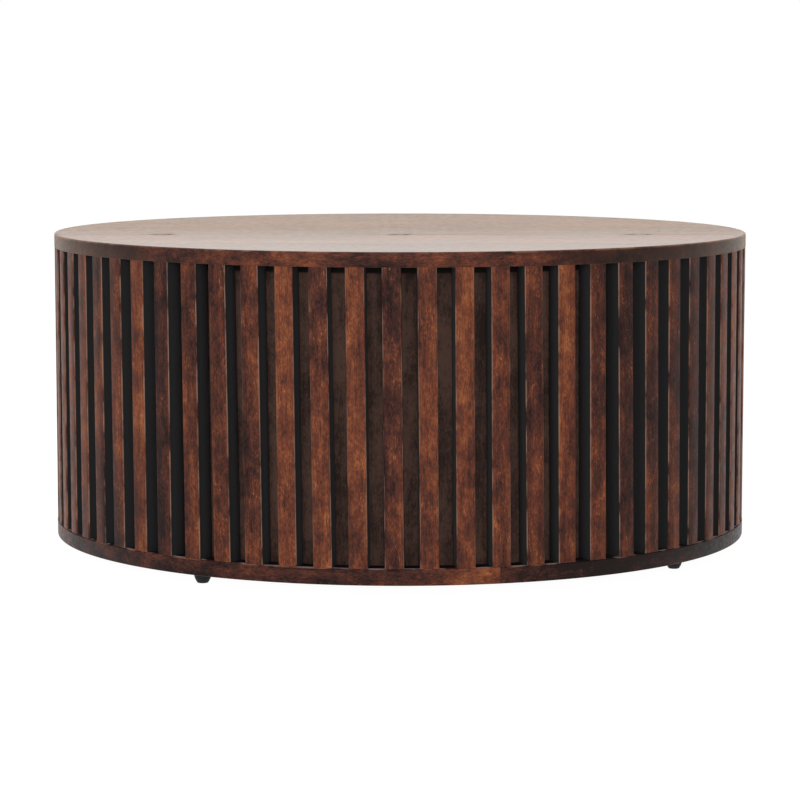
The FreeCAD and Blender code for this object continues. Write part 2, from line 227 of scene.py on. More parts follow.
# The ring under the slats: six segments sawn from boards of mango wood and butted end to
# end. Its outer edges are eased, and a groove in its top holds the panels. It is stained
# dark, and the stain took lighter near the joint right of the front.
def share_where(tree, *limits):
    """How much of a mark shows: all of it where each value is past its limits, none where
    one falls short, and part of it between. What has no limits is a share itself."""
    share = None
    for limit in limits:
        if isinstance(limit, tuple):
            value, low, high = limit
            limit = add_node(tree, "ShaderNodeMapRange", {
                "From Min": low, "From Max": high, "Value": value})
        share = limit if share is None else add_node(tree, "ShaderNodeMath", {
            "operation": "MULTIPLY", 0: share, 1: limit})
    return share


def marked(tree, colour, mark, *limits):
    """A colour with a mark of another colour over it, within limits."""
    return add_node(tree, "ShaderNodeMix", {
        "data_type": "RGBA", 0: share_where(tree, *limits), 6: colour,
        7: linear(mark)}).outputs[2]


def mango_grain(tree):
    """Patterns of mango wood. The grain runs along the first axis of the piece's "grain"
    attribute, and "board" sets one board apart from the next. The patterns average one
    half. Added to the piece's "tone", they make the shade."""
    grain = add_node(tree, "ShaderNodeAttribute", {"attribute_name": "grain"}).outputs["Vector"]
    board = add_node(tree, "ShaderNodeAttribute", {"attribute_name": "board"}).outputs["Fac"]
    shade = add_node(tree, "ShaderNodeAttribute", {"attribute_name": "tone"}).outputs["Fac"]
    patterns = {"grain": grain}

    def pattern(width, slimness, octaves):
        drawn_out = add_node(tree, "ShaderNodeMapping", {
            "Scale": (slimness, 1, 1), "Vector": grain})
        return add_node(tree, "ShaderNodeTexNoise", {
            "noise_dimensions": "4D", "Scale": 1 / width, "Detail": octaves,
            "Vector": drawn_out, "W": board})

    # Each pattern's width across the grain in metres, that width over its length along the
    # grain, its octaves, and its weight in the shade. Real fibres and pores are a few tenths
    # of a millimetre wide, and are drawn 1.3 and 1.1 mm wide, so that they show.
    for name, width, slimness, octaves, weight in (
            ("lengths", 0.07, 0.5, 1, 0.65), ("streaks", 0.011, 0.05, 1, 0.5),
            ("patches", 0.016, 0.55, 2, 0.72), ("mottle", 0.005, 0.6, 2, 0.47),
            ("fibres", 0.0013, 0.35, 2, 0.66)):
        patterns[name] = pattern(width, slimness, octaves)
        swing = add_node(tree, "ShaderNodeMath", {
            "operation": "SUBTRACT", 0: patterns[name], 1: 0.5})
        shade = add_node(tree, "ShaderNodeMath", {
            "operation": "MULTIPLY_ADD", 0: swing, 1: weight, 2: shade})
    patterns["pores"] = share_where(tree, (pattern(0.0011, 0.06, 1), 0.6, 0.68))
    # Year rings: faint lines a few millimetres apart, which follow the streaks
    ring_turns = 50.0
    ring_weight = 0.035
    turns = add_node(tree, "ShaderNodeMath", {
        "operation": "MULTIPLY", 0: patterns["streaks"], 1: ring_turns})
    rings = add_node(tree, "ShaderNodeMath", {"operation": "SINE", 0: turns})
    patterns["shade"] = add_node(tree, "ShaderNodeMath", {
        "operation": "MULTIPLY_ADD", 0: rings, 1: ring_weight, 2: shade})
    return patterns


def stained(tree, shade, tones):
    """The colours of a stain, dark to light, and the shade that each lies at."""
    ramp = add_node(tree, "ShaderNodeValToRGB", {"Fac": shade})
    stops = ramp.color_ramp.elements
    while len(stops) < len(tones):
        stops.new(0.5)
    for stop, (place, colour) in zip(stops, tones):
        stop.position = place
        stop.color = linear(colour)
    return ramp


# Mango wood, planed and stained dark chestnut: a brown between plum and orange that shifts
# in patches, with short dark pores.
mango_tones = ((0.12, "#180D0B"), (0.3, "#361D19"), (0.43, "#49281E"), (0.55, "#5D3123"),
               (0.67, "#6E3C27"), (0.83, "#854E31"), (1.0, "#A46742"))
pore_colour = "#1C0F0C"


def stained_mango(name):
    """A new material with its nodes, the patterns of mango wood and their stained colour."""
    material = empty_material(name)
    tree = material.node_tree
    patterns = mango_grain(tree)
    colour = marked(tree, stained(tree, patterns["shade"], mango_tones), pore_colour,
                    patterns["pores"], patterns["patches"])
    return material, tree, patterns, colour


def lacquered(tree, colour, patterns, dull, duller, bare, coat=None):
    """A thin satin lacquer over stained wood. The pores and fibres show through it in low
    relief, and an open grain throws back less light than glass, so its specular level is
    low. It is duller where the mottle is light, and matt where the wood is bare of it."""
    satin = add_node(tree, "ShaderNodeMapRange", {
        "From Min": 0.35, "From Max": 0.65, "To Min": dull, "To Max": duller,
        "Value": patterns["mottle"]})
    rough = add_node(tree, "ShaderNodeMath", {"operation": "MAXIMUM", 0: satin, 1: bare})
    height = add_node(tree, "ShaderNodeMath", {
        "operation": "SUBTRACT", 0: patterns["fibres"], 1: patterns["pores"]})
    relief = add_node(tree, "ShaderNodeBump", {
        "Strength": 0.35, "Distance": 0.0003, "Height": height})
    surface = add_node(tree, "ShaderNodeBsdfPrincipled", {
        "IOR": 1.5, "Specular IOR Level": 0.12, "Base Color": colour, "Roughness": rough,
        "Normal": relief, **(coat or {})})
    add_node(tree, "ShaderNodeOutputMaterial", {"Surface": surface})


def inside_face(tree):
    """How far inside the drum's round face a point lies."""
    place = add_node(tree, "ShaderNodeTexCoord").outputs["Object"]
    flat = add_node(tree, "ShaderNodeVectorMath", {"operation": "MULTIPLY", 0: place, 1: (1, 1, 0)})
    radius = add_node(tree, "ShaderNodeVectorMath", {"operation": "LENGTH", 0: flat})
    return add_node(tree, "ShaderNodeMath", {
        "operation": "SUBTRACT", 0: drum_radius, 1: radius.outputs["Value"]})


def below_level(tree, level):
    """How far below a level a point lies."""
    place = add_node(tree, "ShaderNodeTexCoord").outputs["Object"]
    parts = add_node(tree, "ShaderNodeSeparateXYZ", {0: place}).outputs
    return add_node(tree, "ShaderNodeMath", {"operation": "SUBTRACT", 0: level, 1: parts["Z"]})


# On the ring, the ledge between the slats is painted nearly black as shade and has no gloss.
# Its outer arris is rubbed paler in places and painted lighter there as a highlight, and a
# broken pale grey line just behind it is a painted highlight on the ledge.
ledge_shade_colour = "#120C0B"
rubbed_and_highlit_ring_colour = "#7A5240"
ledge_highlight_colour = "#8C8388"
ring_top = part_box("slats_1")[0].z
ring_wood, tree, patterns, colour = stained_mango("dark_chestnut_stained_mango_ring")
inside = inside_face(tree)
below = below_level(tree, ring_top)
# Painted shade: the ledge between the slats, nearly black
colour = marked(tree, colour, ledge_shade_colour, (below, 0.0003, 0.0001), (inside, 0.0012, 0.002))
# Wear and a painted highlight: the outer arris, paler in patches
colour = marked(tree, colour, rubbed_and_highlit_ring_colour, (inside, 0.0016, 0.0008),
                (below, 0.0012, 0.0006), (patterns["patches"], 0.5, 0.62))
# Painted highlight: a broken pale grey line on the ledge just behind the arris
colour = marked(tree, colour, ledge_highlight_colour, (inside, 0.0056, 0.0046), (inside, 0.0012, 0.0018),
                (below, 0.0005, 0.0003), (patterns["patches"], 0.42, 0.52))
lacquered(tree, colour, patterns, 0.34, 0.5, share_where(tree, (below, 0.0013, 0.0008)))


def arc(centre, radius, start, end, steps):
    """Points on an arc between two angles in degrees."""
    angles = [math.radians(start + (end - start) * step / steps) for step in range(steps + 1)]
    return [(centre[0] + radius * math.cos(angle), centre[1] + radius * math.sin(angle))
            for angle in angles]


def swept(section, start, end, steps=80):
    """A closed outline of (radius, height) points, swept about the table's axis."""
    bm = bmesh.new()
    outlines = []
    for step in range(steps + 1):
        angle = start + (end - start) * step / steps
        outlines.append([bm.verts.new((radius * math.cos(angle), radius * math.sin(angle), height))
                         for radius, height in section])
    for near, far in zip(outlines, outlines[1:]):
        for place in range(len(section)):
            after = (place + 1) % len(section)
            bm.faces.new((near[place], near[after], far[after], far[place]))
    bm.faces.new(outlines[0])
    bm.faces.new(outlines[-1])
    return bm


def straight_grain(angle):
    """The grain of a board that lies across the radius at an angle."""
    return lambda place: (place.y * math.cos(angle) - place.x * math.sin(angle),
                          place.x * math.cos(angle) + place.y * math.sin(angle), place.z)


def own_values(mesh, grain, tone, board):
    """What the wood's patterns read at each point of a piece: where it lies along and across
    the grain, how light the stain took there, and which board it is."""
    places = [vertex.co for vertex in mesh.vertices]
    layer = mesh.attributes.new("grain", "FLOAT_VECTOR", "POINT")
    layer.data.foreach_set("vector", [value for place in places for value in grain(place)])
    layer = mesh.attributes.new("tone", "FLOAT", "POINT")
    layer.data.foreach_set("value", [tone(place) for place in places])
    layer = mesh.attributes.new("board", "FLOAT", "POINT")
    layer.data.foreach_set("value", [board] * len(places))


section_angle = math.radians(60)
first_joint = math.radians(285.24)


def lighter_by_joint(place):
    """How much lighter the stain took by the joint right of the front: over 6 degrees before
    it, fading over 5 more, and fading over 3 degrees past it."""
    past = math.degrees(math.atan2(place.y, place.x) - first_joint) % 360
    before = 360 - past
    return 0.2 * (min(1, max(0, (11 - before) / 5)) + max(0, 1 - past / 3))


hairline = 0.00025
ring_easing = 0.0015
groove_outer = 0.4246
groove_inner = 0.416
groove_floor = ring_top - 0.005
ring_inner = drum_radius - 0.08
ring_section = (
    [(ring_inner, ring_floor)]
    + arc((drum_radius - ring_easing, ring_floor + ring_easing), ring_easing, -90, 0, 5)
    + arc((drum_radius - ring_easing, ring_top - ring_easing), ring_easing, 0, 90, 5)
    + [(groove_outer, ring_top), (groove_outer, groove_floor), (groove_inner, groove_floor),
       (groove_inner, ring_top), (ring_inner, ring_top)])
# The tone of each segment and the number that sets its pattern, from the joint right of the
# front on. The first segment, which faces right, is toned darkest as painted shade for the
# dimmer right side.
for section, (tone, number) in enumerate(((0.12, 19.18), (0.34, 3.1), (0.3, 6.2), (0.36, 9.3),
                                          (0.32, 26.03), (0.32, 13.7))):
    start = first_joint + section * section_angle
    bm = swept(ring_section, start + hairline, start + section_angle - hairline)
    ring = finished(closed_mesh(bm, ring_wood), f"ring_segment_{section + 1}",
                    f"bottom_ring_segment_{section + 1}")
    own_values(ring.data, straight_grain(start + section_angle / 2),
               lambda place: tone + lighter_by_joint(place), number)


# The wall behind the slats: six bent panels of plywood with upright face grain. They stand
# in the ring's groove and end under the top. A dark stain was wiped on and left without
# lacquer, so they are nearly black, matt and a little uneven. A painted shadow darkens the
# strip just under the top.
wall_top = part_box("backing_panel_1")[1].z
wall_radius = 0.42
glue_gap = 0.0003
panel_inner = groove_inner + glue_gap
panel_outer = groove_outer - glue_gap
panel_wood = empty_material("black_stained_plywood")
tree = panel_wood.node_tree
patterns = mango_grain(tree)
colour = stained(tree, patterns["shade"], ((0.3, "#312521"), (0.7, "#5A433B")))
# Painted shadow of the top: nearly black within 7.5 mm under it, fading out by 9.5 mm
colour = marked(tree, colour, "#161211", (below_level(tree, wall_top), 0.0095, 0.0075))
relief = add_node(tree, "ShaderNodeBump", {
    "Strength": 0.3, "Distance": 0.0002, "Height": patterns["fibres"]})
surface = add_node(tree, "ShaderNodeBsdfPrincipled", {
    "IOR": 1.45, "Specular IOR Level": 0.12, "Roughness": 0.7, "Base Color": colour,
    "Normal": relief})
add_node(tree, "ShaderNodeOutputMaterial", {"Surface": surface})

panel_section = [(panel_inner, groove_floor), (panel_outer, groove_floor),
                 (panel_outer, wall_top), (panel_inner, wall_top)]
for section in range(6):
    start = first_joint + section * section_angle
    bm = swept(panel_section, start, start + section_angle)
    panel = finished(closed_mesh(bm, panel_wood), f"wall_panel_{section + 1}",
                     f"backing_panel_{section + 1}")
    own_values(panel.data,
               lambda place: (place.z, math.atan2(place.y, place.x) * wall_radius, 0.0),
               lambda place: 0.5, 5.3 * section)


# The frame inside the wall: uprights that are tenoned into the ring and into a second ring
# under the top, two battens across the planks and loose tongues in their seams. It is
# planed, glued and left without stain, and keeps the shapes of the CAD.
def planed_wood(name, light, dark, turned):
    """Planed timber without a finish: pale brown and matt, with streaks 3 mm wide and a
    figure 20 mm wide, both twelve times as long. The grain runs along the first axis turned
    by three angles."""
    material = empty_material(name)
    tree = material.node_tree
    place = add_node(tree, "ShaderNodeTexCoord").outputs["Object"]
    along = add_node(tree, "ShaderNodeMapping", {
        "vector_type": "TEXTURE", "Rotation": turned, "Scale": (12, 1, 1), "Vector": place})
    streaks = add_node(tree, "ShaderNodeTexNoise", {
        "Scale": 1 / 0.003, "Detail": 3, "Vector": along})
    figure = add_node(tree, "ShaderNodeTexNoise", {
        "Scale": 1 / 0.02, "Detail": 2, "Distortion": 0.6, "Vector": along})
    both = add_node(tree, "ShaderNodeMath", {"operation": "ADD", 0: streaks, 1: figure})
    colour = stained(tree, share_where(tree, (both, 0.7, 1.3)), ((0.0, dark), (1.0, light)))
    rough = add_node(tree, "ShaderNodeMapRange", {
        "To Min": 0.55, "To Max": 0.75, "Value": streaks})
    relief = add_node(tree, "ShaderNodeBump", {
        "Strength": 0.3, "Distance": 0.0003, "Height": streaks})
    surface = add_node(tree, "ShaderNodeBsdfPrincipled", {
        "IOR": 1.45, "Specular IOR Level": 0.3, "Base Color": colour, "Roughness": rough,
        "Normal": relief})
    add_node(tree, "ShaderNodeOutputMaterial", {"Surface": surface})
    return material


def dress(node, material):
    """A CAD node that keeps its shape gets its finish."""
    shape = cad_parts[node].data
    shape.materials.clear()
    shape.materials.append(material)


quarter = math.pi / 2
upright_wood = planed_wood("planed_mango_upright", "#B08A62", "#7F5B3B", (0, quarter, 0))
batten_wood = planed_wood("planed_mango_batten", "#B08A62", "#7F5B3B", (0, 0, quarter))
tongue_wood = planed_wood("birch_plywood_tongue", "#CDB389", "#B08F63", (0, 0, 0))
for section in range(6):
    dress(f"upright_{section + 1}", upright_wood)
    across = first_joint + (section + 0.5) * section_angle + quarter
    dress(f"upper_ring_segment_{section + 1}",
          planed_wood(f"planed_mango_segment_{section + 1}", "#AB855D", "#7A5737", (0, 0, across)))
dress("top_batten_left", batten_wood)
dress("top_batten_right", batten_wood)
dress("top_tongues", tongue_wood)


# The slats: 66 upright strips of mango wood with rounded front arrises, glued to the panels
# and flush with the top and the ring. They were spaced by eye, and each leans by a hair. The
# stain took differently on each.
slat_width = 0.0225
slat_depth = 0.025
slat_length = 0.354
slat_easing = 0.0016
slat_face = drum_radius - 0.0004
slats_per_section = 11

# The mango of the slats: the sides carry painted shade, nearly black by the face and a
# lighter grey further in. The arrises are rubbed to a pale grey brown in places, which is also a
# painted highlight, and orange flecks of bare fibre show on the face.
side_shade_colour = "#252627"
deep_side_shade_colour = "#3B393A"
rubbed_and_highlit_slat_colour = "#846A5D"
fleck_colour = "#A0633D"
slat_wood, tree, patterns, colour = stained_mango("chestnut_stained_mango_slat")
parts = add_node(tree, "ShaderNodeSeparateXYZ", {0: patterns["grain"]}).outputs
across = add_node(tree, "ShaderNodeMath", {"operation": "ABSOLUTE", 0: parts["Y"]})
behind = add_node(tree, "ShaderNodeMath", {
    "operation": "SUBTRACT", 0: slat_depth / 2, 1: parts["Z"]})
side = share_where(tree, (behind, slat_easing * 0.7, slat_easing * 1.3))
face = share_where(tree, (behind, slat_easing, slat_easing * 0.6))
# Painted shade on the slats' sides, nearly black by the face
colour = marked(tree, colour, side_shade_colour, side)
# Painted shade deeper in the gap, a lighter grey
colour = marked(tree, colour, deep_side_shade_colour, (behind, slat_easing * 2, slat_depth * 0.7))
# Wear and a painted highlight: the face's arrises, pale grey brown in patches
colour = marked(tree, colour, rubbed_and_highlit_slat_colour,
                (across, slat_width / 2 - slat_easing * 0.6, slat_width / 2 - slat_easing / 4),
                face, (patterns["patches"], 0.4, 0.56))
colour = marked(tree, colour, fleck_colour, (patterns["fibres"], 0.62, 0.74),
                (patterns["patches"], 0.5, 0.62), face)
lacquered(tree, colour, patterns, 0.36, 0.55, side)

# The tree: one eased slat, and copies of it round a share of the wall
tree = bpy.data.node_groups.new("slats_round_the_wall", "GeometryNodeTree")
tree.interface.new_socket("Geometry", in_out="OUTPUT", socket_type="NodeSocketGeometry")
slat_inputs = {}
for name, kind, value in (
        ("Count", "Int", slats_per_section), ("First angle", "Float", 0.0),
        ("Pitch", "Float", section_angle / slats_per_section), ("Face radius", "Float", slat_face),
        ("Width", "Float", slat_width), ("Depth", "Float", slat_depth),
        ("Length", "Float", slat_length), ("Foot height", "Float", ring_top),
        ("Easing", "Float", slat_easing), ("Uneven spacing", "Float", math.radians(0.09)),
        ("Least lean", "Float", 0.007), ("Most lean", "Float", 0.017),
        ("Darkest tone", "Float", 0.33), ("Lightest tone", "Float", 0.67),
        ("Seed", "Int", 0), ("Material", "Material", slat_wood)):
    socket = tree.interface.new_socket(name, in_out="INPUT", socket_type=f"NodeSocket{kind}")
    socket.default_value = value
    slat_inputs[name] = socket.identifier
given = add_node(tree, "NodeGroupInput").outputs

outline = add_node(tree, "GeometryNodeCurvePrimitiveQuadrilateral", {
    "Width": given["Depth"], "Height": given["Width"]})
eased = add_node(tree, "GeometryNodeFilletCurve", {
    "mode": "POLY", "Count": 3, "Curve": outline, "Radius": given["Easing"]})
upper_end = add_node(tree, "ShaderNodeCombineXYZ", {"Z": given["Length"]})
spine = add_node(tree, "GeometryNodeCurvePrimitiveLine", {"End": upper_end})
slat = add_node(tree, "GeometryNodeCurveToMesh", {
    "Fill Caps": True, "Curve": spine, "Profile Curve": eased})
own_place = add_node(tree, "ShaderNodeSeparateXYZ", {
    0: add_node(tree, "GeometryNodeInputPosition")}).outputs
along_grain = add_node(tree, "ShaderNodeCombineXYZ", {
    "X": own_place["Z"], "Y": own_place["Y"], "Z": own_place["X"]})
grained = add_node(tree, "GeometryNodeStoreNamedAttribute", {
    "data_type": "FLOAT_VECTOR", "domain": "POINT", "Name": "grain", "Geometry": slat,
    "Value": along_grain})

# What differs from slat to slat, each with its own seed: how far it stands aside, how light
# the stain took, which board it is cut from and how it leans
chance = {}
for name, low, high, own_seed in (
        ("aside", -1.0, 1.0, 17), ("tone", given["Darkest tone"], given["Lightest tone"], 0),
        ("board", 0.0, 40.0, 7), ("lean", given["Least lean"], given["Most lean"], 11)):
    seed = add_node(tree, "ShaderNodeMath", {"operation": "ADD", 0: given["Seed"], 1: own_seed})
    chance[name] = add_node(tree, "FunctionNodeRandomValue", {
        "data_type": "FLOAT", 2: low, 3: high, "Seed": seed}).outputs[1]

regular = add_node(tree, "ShaderNodeMath", {
    "operation": "MULTIPLY_ADD", 0: add_node(tree, "GeometryNodeInputIndex"),
    1: given["Pitch"], 2: given["First angle"]})
angle = add_node(tree, "ShaderNodeMath", {
    "operation": "MULTIPLY_ADD", 0: chance["aside"], 1: given["Uneven spacing"], 2: regular})
middle_radius = add_node(tree, "ShaderNodeMath", {
    "operation": "MULTIPLY_ADD", 0: given["Depth"], 1: -0.5, 2: given["Face radius"]})
foot = add_node(tree, "ShaderNodeCombineXYZ", {"X": middle_radius, "Z": given["Foot height"]})
turned_foot = add_node(tree, "ShaderNodeVectorRotate", {
    "rotation_type": "Z_AXIS", "Vector": foot, "Angle": angle})
spots = add_node(tree, "GeometryNodeMeshLine", {"mode": "OFFSET", "Count": given["Count"]})
placed_spots = add_node(tree, "GeometryNodeSetPosition", {
    "Geometry": spots, "Position": turned_foot})
facing = add_node(tree, "ShaderNodeCombineXYZ", {"Z": angle})
geometry = add_node(tree, "GeometryNodeInstanceOnPoints", {
    "Points": placed_spots, "Instance": grained, "Rotation": facing})
for name, value in (("tone", chance["tone"]), ("board", chance["board"]),
                    ("lean", chance["lean"]), ("angle", angle)):
    geometry = add_node(tree, "GeometryNodeStoreNamedAttribute", {
        "data_type": "FLOAT", "domain": "INSTANCE", "Name": name, "Geometry": geometry,
        "Value": value})
geometry = add_node(tree, "GeometryNodeRealizeInstances", {"Geometry": geometry})

# The lean moves a slat's foot and head apart along the wall
lean = add_node(tree, "GeometryNodeInputNamedAttribute", {"data_type": "FLOAT", "Name": "lean"})
turn = add_node(tree, "GeometryNodeInputNamedAttribute", {"data_type": "FLOAT", "Name": "angle"})
height = add_node(tree, "ShaderNodeSeparateXYZ", {
    0: add_node(tree, "GeometryNodeInputPosition")}).outputs["Z"]
middle_height = add_node(tree, "ShaderNodeMath", {
    "operation": "MULTIPLY_ADD", 0: given["Length"], 1: 0.5, 2: given["Foot height"]})
below_middle = add_node(tree, "ShaderNodeMath", {
    "operation": "SUBTRACT", 0: middle_height, 1: height})
sideways = add_node(tree, "ShaderNodeMath", {"operation": "MULTIPLY", 0: below_middle, 1: lean})
along_wall = add_node(tree, "ShaderNodeCombineXYZ", {"Y": sideways})
shift = add_node(tree, "ShaderNodeVectorRotate", {
    "rotation_type": "Z_AXIS", "Vector": along_wall, "Angle": turn})
geometry = add_node(tree, "GeometryNodeSetPosition", {"Geometry": geometry, "Offset": shift})
geometry = add_node(tree, "GeometryNodeSetMaterial", {
    "Geometry": geometry, "Material": given["Material"]})
add_node(tree, "NodeGroupOutput", {0: geometry})


def laid_out(tree, inputs, spots=()):
    """The plain mesh that a tree makes with its inputs, on spots where it asks for them."""
    start = bpy.data.meshes.new("spots")
    start.from_pydata(spots, [], [])
    carrier = bpy.data.objects.new("carrier", start)
    scene.collection.objects.link(carrier)
    layout = carrier.modifiers.new("layout", "NODES")
    layout.node_group = tree
    for identifier, value in inputs.items():
        layout[identifier] = value
    depsgraph = bpy.context.evaluated_depsgraph_get()
    made = bpy.data.meshes.new_from_object(carrier.evaluated_get(depsgraph))
    bpy.data.objects.remove(carrier)
    # Realizing puts an empty slot before the material's
    if made.materials[0] is None:
        made.materials.pop(index=0)
    return made


# The seed of each section sets the tones, leans and spacing of its eleven slats
for section, seed in enumerate((2751, 21, 22, 23, 655, 3251)):
    mesh = laid_out(tree, {slat_inputs["First angle"]: first_joint + section * section_angle,
                           slat_inputs["Seed"]: seed})
    finished(mesh, f"slat_set_{section + 1}", f"slats_{section + 1}", 50)


# The top: five planks of mango wood, tongued edge to edge, with the grain along X. The rim
# is rounded above and broken below. Three small filled knots sit on the seam in front of
# the middle. The lacquer is glossier here than on the wall.
top_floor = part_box("top_plank_middle")[0].z
top_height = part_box("top_plank_middle")[1].z
top_easing = 0.0025
lower_easing = 0.0008
plank_width = 2 * drum_radius / 5
knot_spacing = 0.305
knot_radius = 0.014

top_wood, tree, patterns, colour = stained_mango("lacquered_mango_top")
inside = inside_face(tree)
below = below_level(tree, top_height)
upper_side = share_where(tree, (below, 0.0008, 0.0002))
place = add_node(tree, "ShaderNodeTexCoord").outputs["Object"]
parts = add_node(tree, "ShaderNodeSeparateXYZ", {0: place}).outputs
# The knots: a nearly black ragged rim round a dark brown heart
beside = add_node(tree, "ShaderNodeMath", {
    "operation": "WRAP", 0: parts["X"], 1: knot_spacing / 2, 2: -knot_spacing / 2})
beyond = add_node(tree, "ShaderNodeMath", {
    "operation": "ADD", 0: parts["Y"], 1: plank_width / 2})
off_knot = add_node(tree, "ShaderNodeCombineXYZ", {"X": beside, "Y": beyond})
ragged = add_node(tree, "ShaderNodeVectorMath", {
    "operation": "LENGTH", 0: off_knot}).outputs["Value"]
for name, raggedness in (("patches", 0.026), ("mottle", 0.012)):
    swing = add_node(tree, "ShaderNodeMath", {
        "operation": "SUBTRACT", 0: patterns[name], 1: 0.5})
    ragged = add_node(tree, "ShaderNodeMath", {
        "operation": "MULTIPLY_ADD", 0: swing, 1: raggedness, 2: ragged})
knot_rim = share_where(tree, (ragged, knot_radius - 0.007, knot_radius - 0.004),
                       (ragged, knot_radius + 0.006, knot_radius + 0.002))
colour = marked(tree, colour, "#1D110D", knot_rim)
colour = marked(tree, colour, "#2E1A13", (ragged, knot_radius, knot_radius - 0.004),
                (patterns["mottle"], 0.45, 0.6))
# The seams: thin dark lines of glue, drawn 1.5 mm wide, that come and go
in_plank = add_node(tree, "ShaderNodeMath", {
    "operation": "WRAP", 0: parts["Y"], 1: plank_width / 2, 2: -plank_width / 2})
off_middle = add_node(tree, "ShaderNodeMath", {"operation": "ABSOLUTE", 0: in_plank})
colour = marked(tree, colour, "#1A0F0C", upper_side, (inside, 0.001, 0.003),
                (off_middle, plank_width / 2 - 0.0011, plank_width / 2 - 0.0004),
                (patterns["lengths"], 0.36, 0.5))
# End grain drinks more stain, so the rim is darkest at the left and the right. The dark
# sets in sooner on the right as painted shade for the dimmer right side.
end_grain_and_shade_share = 0.72
off_front = add_node(tree, "ShaderNodeMath", {
    "operation": "ADD", 0: parts["X"], 1: 0.12 * drum_radius})
off_front = add_node(tree, "ShaderNodeMath", {"operation": "ABSOLUTE", 0: off_front})
# End grain stain, with painted shade where it sets in sooner on the right
colour = marked(tree, colour, "#160D0C", (below, 0.0016, 0.0026),
                (off_front, 0.48 * drum_radius, 0.6 * drum_radius), end_grain_and_shade_share)
# The upper arris is rubbed paler in places, and that paler colour is also a painted highlight
colour = marked(tree, colour, "#674636", (inside, 0.0028, 0.0018), (below, 0.0026, 0.0016),
                (patterns["patches"], 0.48, 0.62))
# The polish: a second, glossier coat on the upper side, fuller towards the front and broken
# at the knots and along their seam. A fine haze on it looks pale from low down.
fuller = add_node(tree, "ShaderNodeMapRange", {
    "From Min": 0.06, "From Max": -0.38, "To Min": 0.14, "To Max": 1.0, "Value": parts["Y"]})
off_seam = add_node(tree, "ShaderNodeMath", {"operation": "ABSOLUTE", 0: beyond})
near_seam = share_where(tree, (off_seam, 0.007, 0.002), (patterns["lengths"], 0.42, 0.54), 0.7)
open_knot = share_where(tree, knot_rim, (patterns["mottle"], 0.36, 0.5))
broken = add_node(tree, "ShaderNodeMath", {"operation": "MAXIMUM", 0: near_seam, 1: open_knot})
whole = add_node(tree, "ShaderNodeMath", {"operation": "SUBTRACT", 0: 1.0, 1: broken})
lacquered(tree, colour, patterns, 0.3, 0.45, broken, {
    "Coat Weight": share_where(tree, fuller, whole, upper_side), "Coat Roughness": 0.2,
    "Coat IOR": 1.27, "Sheen Weight": 0.37, "Sheen Roughness": 0.35,
    "Sheen Tint": linear("#E6C6A4")})


def plank(front, back):
    """A plank of the round top between two seams, from the front to the back."""
    low = math.asin(max(-1, front / drum_radius))
    high = math.asin(min(1, back / drum_radius))
    steps = round(math.degrees(high - low))
    angles = [low + (high - low) * step / steps for step in range(steps + 1)]
    right = [(drum_radius * math.cos(angle), drum_radius * math.sin(angle)) for angle in angles]
    left = [(-x, y) for x, y in reversed(right) if x > 1e-6]
    right = [(x, y) if x > 1e-6 else (0.0, y) for x, y in right]
    bm = bmesh.new()
    face = bm.faces.new([bm.verts.new((x, y, top_floor)) for x, y in right + left])
    raised = bmesh.ops.extrude_face_region(bm, geom=[face])["geom"]
    bmesh.ops.translate(bm, verts=[item for item in raised if isinstance(item, bmesh.types.BMVert)],
                        vec=(0, 0, top_height - top_floor))

    def on_rim(edge, level):
        return (all(abs(vert.co.z - level) < 1e-6
                    and vert.co.to_2d().length > drum_radius - 1e-5 for vert in edge.verts)
                and not any(all(abs(vert.co.y - seam) < 1e-6 for vert in edge.verts)
                            for seam in (front, back)))

    for level, easing, segments in ((top_height, top_easing, 5), (top_floor, lower_easing, 2)):
        bmesh.ops.bevel(bm, geom=[edge for edge in bm.edges if on_rim(edge, level)],
                        offset=easing, segments=segments, profile=0.5, affect="EDGES")
    return bm


# The tone of each plank, and the number that sets its pattern
for index, (name, tone, number) in enumerate((("front", 0.42, 28.77), ("front_middle", 0.54, 7.7),
                                              ("middle", 0.43, 15.4), ("back_middle", 0.52, 23.1),
                                              ("back", 0.45, 30.8))):
    front = -drum_radius + plank_width * index
    board = finished(closed_mesh(plank(front, front + plank_width), top_wood),
                     f"top_board_{name}", f"top_plank_{name}", 40)
    own_values(board.data, tuple, lambda place: tone, number)


